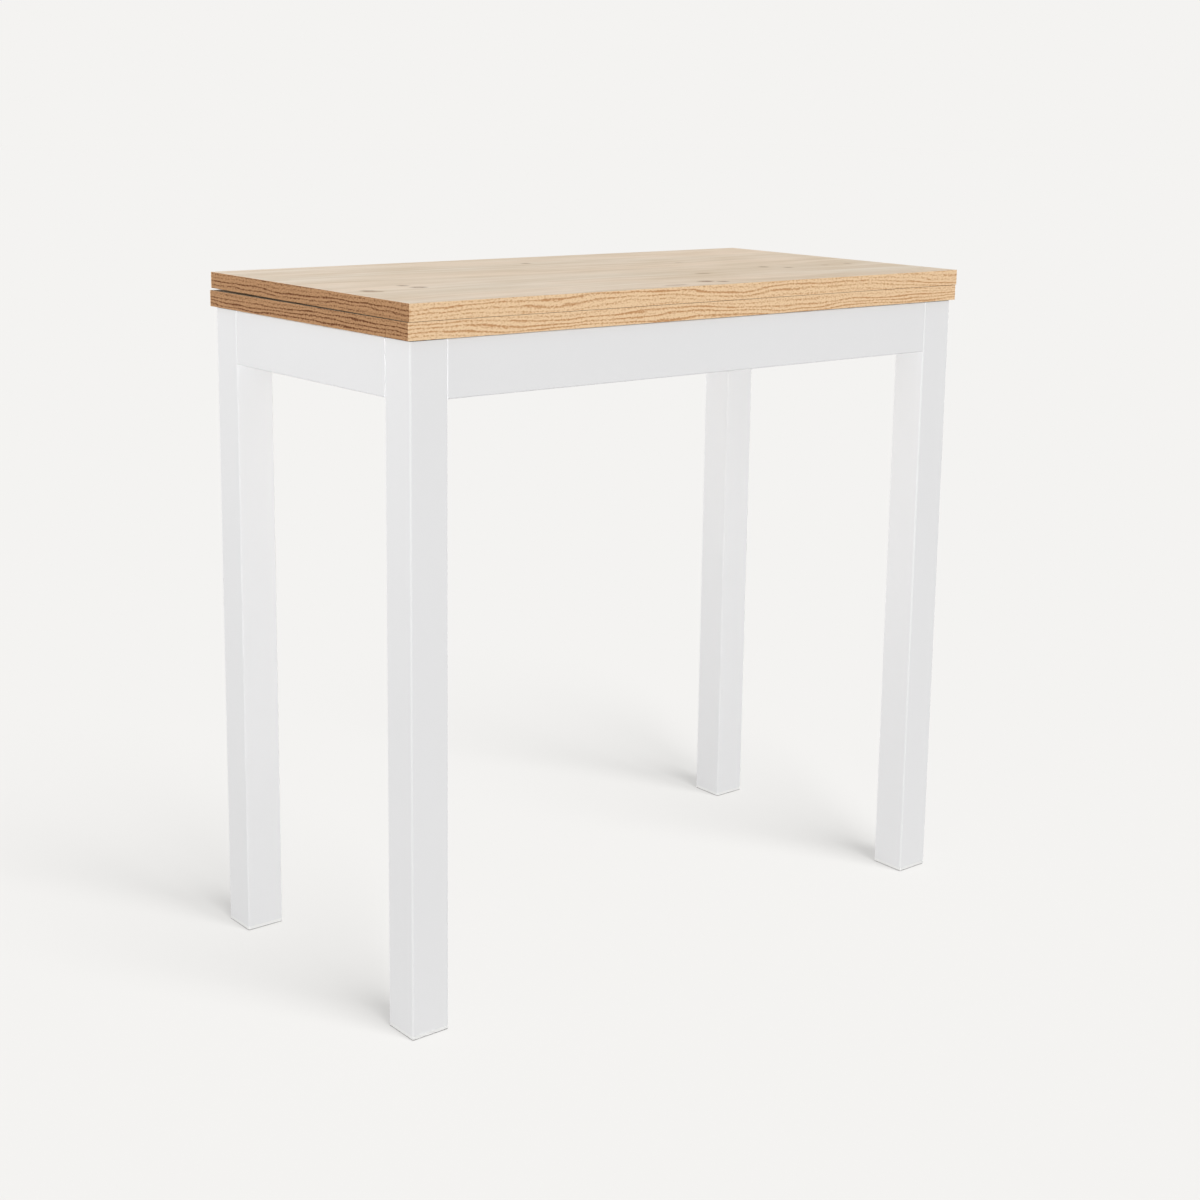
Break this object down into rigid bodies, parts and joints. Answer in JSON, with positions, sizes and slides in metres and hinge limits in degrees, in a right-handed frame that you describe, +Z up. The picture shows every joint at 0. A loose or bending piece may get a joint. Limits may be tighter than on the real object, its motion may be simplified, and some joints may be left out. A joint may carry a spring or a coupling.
{
  "type": "extending table",
  "caption": "Book-fold extending table: an oak-look top slides forwards on a white square-tube frame and its upper leaf folds back to double the depth.",
  "frame": {"origin": "on the floor, under the middle of the closed top", "axes": "+X along the long side, to the right of a user who stands at the front; -Y towards that user, the way the top slides; +Z up"},
  "size_m": [0.8016, 0.4028, 0.77],
  "materials": {
    "powder_white": "white powder coat, satin",
    "oak_face": "pale oak melamine, matt, grain along the length",
    "oak_edge": "oak edge band with open grain lines, matt",
    "zinc_steel": "bright zinc plate",
    "black_plastic": "moulded, matt",
    "white_plastic": "moulded, satin",
    "white_nylon": "moulded, satin"
  },
  "bodies": {
    "frame": {"leg_front_left": "powder_white", "leg_front_right": "powder_white", "leg_back_left": "powder_white", "leg_back_right": "powder_white", "foot_front_left": "white_plastic", "foot_front_right": "white_plastic", "foot_back_left": "white_plastic", "foot_back_right": "white_plastic", "glide_front_left": "black_plastic", "glide_front_right": "black_plastic", "glide_back_left": "black_plastic", "glide_back_right": "black_plastic", "apron_front": "powder_white", "apron_back": "powder_white", "apron_left": "powder_white", "apron_right": "powder_white", "corner_bracket_front_left": "zinc_steel", "corner_bracket_front_right": "zinc_steel", "corner_bracket_back_left": "zinc_steel", "corner_bracket_back_right": "zinc_steel", "corner_nut_front_left": "zinc_steel", "corner_nut_front_right": "zinc_steel", "corner_nut_back_left": "zinc_steel", "corner_nut_back_right": "zinc_steel", "corner_bolt_front_left": "zinc_steel", "corner_bolt_front_right": "zinc_steel", "corner_bolt_back_left": "zinc_steel", "corner_bolt_back_right": "zinc_steel", "guide_rail_left": "zinc_steel", "guide_rail_right": "zinc_steel", "rail_stop_left_front": "black_plastic", "rail_stop_left_back": "black_plastic", "rail_stop_right_front": "black_plastic", "rail_stop_right_back": "black_plastic"},
    "lower_leaf": {"lower_board": "oak_face", "lower_band_front": "oak_edge", "lower_band_back": "oak_edge", "lower_band_left": "oak_edge", "lower_band_right": "oak_edge", "slider_shoe_left": "white_nylon", "slider_shoe_right": "white_nylon", "hinge_left_lower_plate": "zinc_steel", "hinge_middle_lower_plate": "zinc_steel", "hinge_right_lower_plate": "zinc_steel", "hinge_left_pin": "zinc_steel", "hinge_middle_pin": "zinc_steel", "hinge_right_pin": "zinc_steel"},
    "upper_leaf": {"upper_board": "oak_face", "upper_band_front": "oak_edge", "upper_band_back": "oak_edge", "upper_band_left": "oak_edge", "upper_band_right": "oak_edge", "hinge_left_upper_plate": "zinc_steel", "hinge_middle_upper_plate": "zinc_steel", "hinge_right_upper_plate": "zinc_steel"}
  },
  "joints": [
    {"name": "top_slide", "type": "slide", "parent": "frame", "child": "lower_leaf", "axis": [0, -1, 0], "range_m": [0, 0.2]},
    {"name": "leaf_fold", "type": "hinge", "parent": "lower_leaf", "child": "upper_leaf", "pos_m": [0, 0.20025, 0.7508], "axis": [-1, 0, 0], "range_deg": [0, 180.29]}
  ]
}
